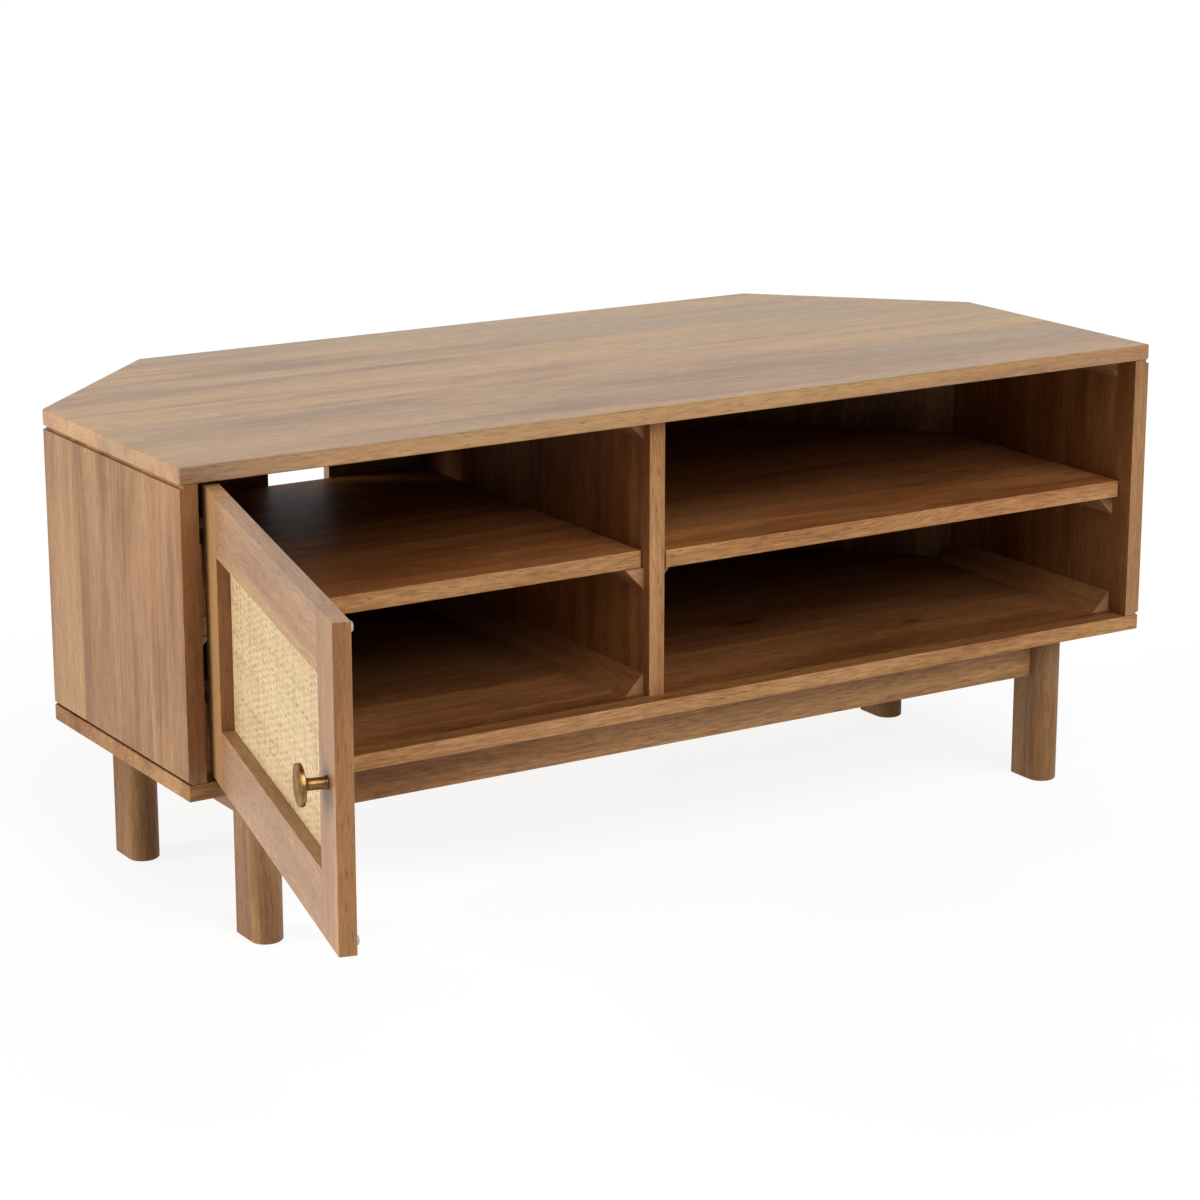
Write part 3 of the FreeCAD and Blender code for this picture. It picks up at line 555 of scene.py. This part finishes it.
def dress_metal_and_rubber():
    """Hinges, screws and bumpers."""
    steel = plated_steel()
    for name in frame["nodes"]:
        if name.startswith(("hinge_", "back_board_screws", "leg_studs", "knob_screw")):
            dress(name, steel)
    dress("door_bumpers", clear_rubber())


def shut_to_open():
    """The turn from the shut door to the place where it is stored."""
    turn = Matrix.Rotation(DOOR_SWING, 4, "Z")
    return Matrix.Translation(HINGE_POINT) @ turn @ Matrix.Translation(-HINGE_POINT)


def shut_box(node_name):
    """Lowest and highest corner of a door node with the door shut."""
    back = shut_to_open().inverted()
    corners = [back @ vertex.co for vertex in frame["nodes"][node_name].data.vertices]
    low = Vector([min(corner[axis] for corner in corners) for axis in range(3)])
    high = Vector([max(corner[axis] for corner in corners) for axis in range(3)])
    return low, high


def door_piece(name, builder, material):
    """A bmesh made for the shut door becomes a piece on the open one, with material and slot."""
    bmesh.ops.recalc_face_normals(builder, faces=builder.faces)
    builder.transform(shut_to_open())
    mesh = bpy.data.meshes.new(name)
    builder.to_mesh(mesh)
    builder.free()
    mesh.materials.append(material)
    piece = bpy.data.objects.new(name, mesh)
    bpy.context.scene.collection.objects.link(piece)
    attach(piece, "door")
    return piece


def join_rings(builder, rings):
    """Smooth faces between each closed ring of vertices and the next."""
    sides = len(rings[0])
    for ring, following in zip(rings, rings[1:]):
        for corner in range(sides):
            other = (corner + 1) % sides
            face = builder.faces.new((ring[corner], ring[other], following[other], following[corner]))
            face.smooth = True


def strand(builder, start, along, over, out, width, pitch, crossings, phase):
    """One flat cane strand that goes over and under the strands it crosses, one in each pitch."""
    section = [(across * width, rise * STRAND_THICKNESS) for across, rise in STRAND_SECTION]
    step = pitch / STEPS_PER_CROSSING
    rings = []
    for index in range((crossings - 1) * STEPS_PER_CROSSING + 1):
        distance = index * step
        swing = math.cos(math.pi * distance / pitch + phase)
        wave = math.copysign(abs(swing) ** STRAND_EASE, swing)
        centre = start + along * distance + out * (wave * STRAND_THICKNESS * STRAND_RISE)
        rings.append([builder.verts.new(centre + over * across + out * rise) for across, rise in section])
    join_rings(builder, rings)
    builder.faces.new(rings[0][::-1])
    builder.faces.new(rings[-1])


def cane_weave():
    """The cane sheet, woven strand by strand in the space of its CAD sheet."""
    low, high = shut_box("cane_panel")
    middle_y = (low.y + high.y) / 2
    across = Vector((1, 0, 0))
    upright = Vector((0, 0, 1))
    out = Vector((0, 1, 0))
    width = high.x - low.x
    height = high.z - low.z
    columns = int(width / UPRIGHT_PITCH)
    rows = int(height / CROSSING_PITCH)
    left = low.x + (width - (columns - 1) * UPRIGHT_PITCH) / 2
    bottom = low.z + (height - (rows - 1) * CROSSING_PITCH) / 2
    uprights = bmesh.new()
    for column in range(columns):
        start = Vector((left + column * UPRIGHT_PITCH, middle_y, bottom))
        phase = math.pi * (column % 2)
        strand(uprights, start, upright, across, out, UPRIGHT_WIDTH, CROSSING_PITCH, rows, phase)
    crossing = bmesh.new()
    for row in range(rows):
        start = Vector((left, middle_y, bottom + row * CROSSING_PITCH))
        phase = math.pi * ((row + 1) % 2)
        strand(crossing, start, across, upright, out, CROSSING_WIDTH, UPRIGHT_PITCH, columns, phase)
    upright_piece = door_piece("cane_uprights", uprights, cane_strand("cane_upright", "z"))
    door_piece("cane_crossings", crossing, cane_strand("cane_crossing", "door"))
    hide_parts("cane_panel")


def knob_profile(radius, length):
    """The knob's outline from foot to crown, as radius and height; its tip is left out."""
    profile = list(KNOB_COLLAR)
    under_disc = length - DISC_THICKNESS
    neck_top = under_disc - FLARE_LENGTH
    for step in range(FLARE_STEPS + 1):
        share = step / FLARE_STEPS
        profile.append((NECK_RADIUS + FLARE_WIDENING * share ** 3, neck_top + FLARE_LENGTH * share))
    profile.append((radius * DISC_UNDERSIDE, under_disc))
    turns = [math.pi / 2 * step / DISC_EDGE_STEPS for step in range(DISC_EDGE_STEPS + 1)]
    inside = radius - DISC_EDGE
    for turn in turns:
        profile.append((inside + DISC_EDGE * math.sin(turn), under_disc + DISC_EDGE * (1 - math.cos(turn))))
    for turn in turns:
        height = length - 2 * DISC_EDGE + DISC_EDGE * math.sin(turn)
        profile.append((inside + DISC_EDGE * math.cos(turn), height))
    profile += [(radius * share, length - drop * DISC_EDGE) for share, drop in DISC_CROWN]
    return profile


def turned_knob():
    """The knob as a smooth turning on the CAD knob's axis, with a softly crowned disc."""
    low, high = shut_box("knob")
    radius = (high.x - low.x) / 2 - KNOB_INSIDE
    length = high.y - low.y - KNOB_INSIDE
    centre = Vector(((low.x + high.x) / 2, high.y, (low.z + high.z) / 2))
    builder = bmesh.new()
    rings = []
    for ring_radius, height in knob_profile(radius, length):
        ring = []
        for index in range(KNOB_SEGMENTS):
            angle = 2 * math.pi * index / KNOB_SEGMENTS
            offset = Vector((ring_radius * math.cos(angle), -height, ring_radius * math.sin(angle)))
            ring.append(builder.verts.new(centre + offset))
        rings.append(ring)
    join_rings(builder, rings)
    tip = builder.verts.new(centre - Vector((0, length, 0)))
    for corner, other in zip(rings[-1], rings[-1][1:] + rings[-1][:1]):
        face = builder.faces.new((corner, other, tip))
        face.smooth = True
    builder.faces.new(rings[0])
    piece = door_piece("turned_knob", builder, aged_brass())
    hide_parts("knob")


def studio_floor():
    """A white floor, far wider than the view."""
    mesh = bpy.data.meshes.new("studio_floor")
    size = FLOOR_HALF_SIZE
    corners = [(-size, -size, 0), (size, -size, 0), (size, size, 0), (-size, size, 0)]
    mesh.from_pydata(corners, [], [(0, 1, 2, 3)])
    mesh.materials.append(glowing_floor())
    floor = bpy.data.objects.new("studio_floor", mesh)
    bpy.context.scene.collection.objects.link(floor)


def backdrop():
    """A pale glow behind the object, and a low pale band beside it but not before its open front."""
    world = bpy.data.worlds.new("studio")
    world.use_nodes = True
    n = Nodes(world.node_tree)
    direction = n.add("TexCoord").outputs["Generated"]
    view = (math.sin(CAMERA_YAW), math.cos(CAMERA_YAW), 0.0)
    axes = n.axes(direction)
    behind = n.span(n.vector_math("DOT_PRODUCT", direction, view), *WORLD_TURN, WORLD_FRONT, WORLD_BACK)
    low_down = n.span(axes["Z"], *WORLD_BAND, WORLD_BACK, 0.0)
    beside = n.span(axes["Y"], *WORLD_SIDES, 0.0, 1.0)
    band = n.math("MULTIPLY", low_down, beside)
    background = n.tree.nodes["Background"]
    n.feed((1.0, 1.0, 1.0, 1.0), background.inputs["Color"])
    n.feed(n.math("MAXIMUM", behind, band), background.inputs["Strength"])
    bpy.context.scene.world = world


def soft_light(name, towards, strength, width):
    """A very wide, soft distant light; towards points from the object to the light."""
    light = bpy.data.lights.new(name, "SUN")
    light.energy = strength
    light.angle = math.radians(width)
    lamp = bpy.data.objects.new(name, light)
    lamp.rotation_euler = (-towards).to_track_quat("-Z", "Y").to_euler()
    bpy.context.scene.collection.objects.link(lamp)


def camera():
    """The camera at the viewer's place, level from side to side."""
    lens = bpy.data.cameras.new("camera")
    lens.lens = CAMERA_LENS
    lens.sensor_width = SENSOR_WIDTH
    lens.clip_end = CAMERA_REACH
    viewer = bpy.data.objects.new("camera", lens)
    viewer.location = CAMERA_PLACE
    viewer.rotation_euler = (math.pi / 2 - CAMERA_PITCH, 0.0, -CAMERA_YAW)
    bpy.context.scene.collection.objects.link(viewer)
    bpy.context.scene.camera = viewer


dress_wood()
dress_metal_and_rubber()
cane_weave()
turned_knob()
studio_floor()
for lamp_plan in LIGHTS:
    soft_light(*lamp_plan)
backdrop()
camera()
bpy.context.scene.view_settings.view_transform = "Standard"
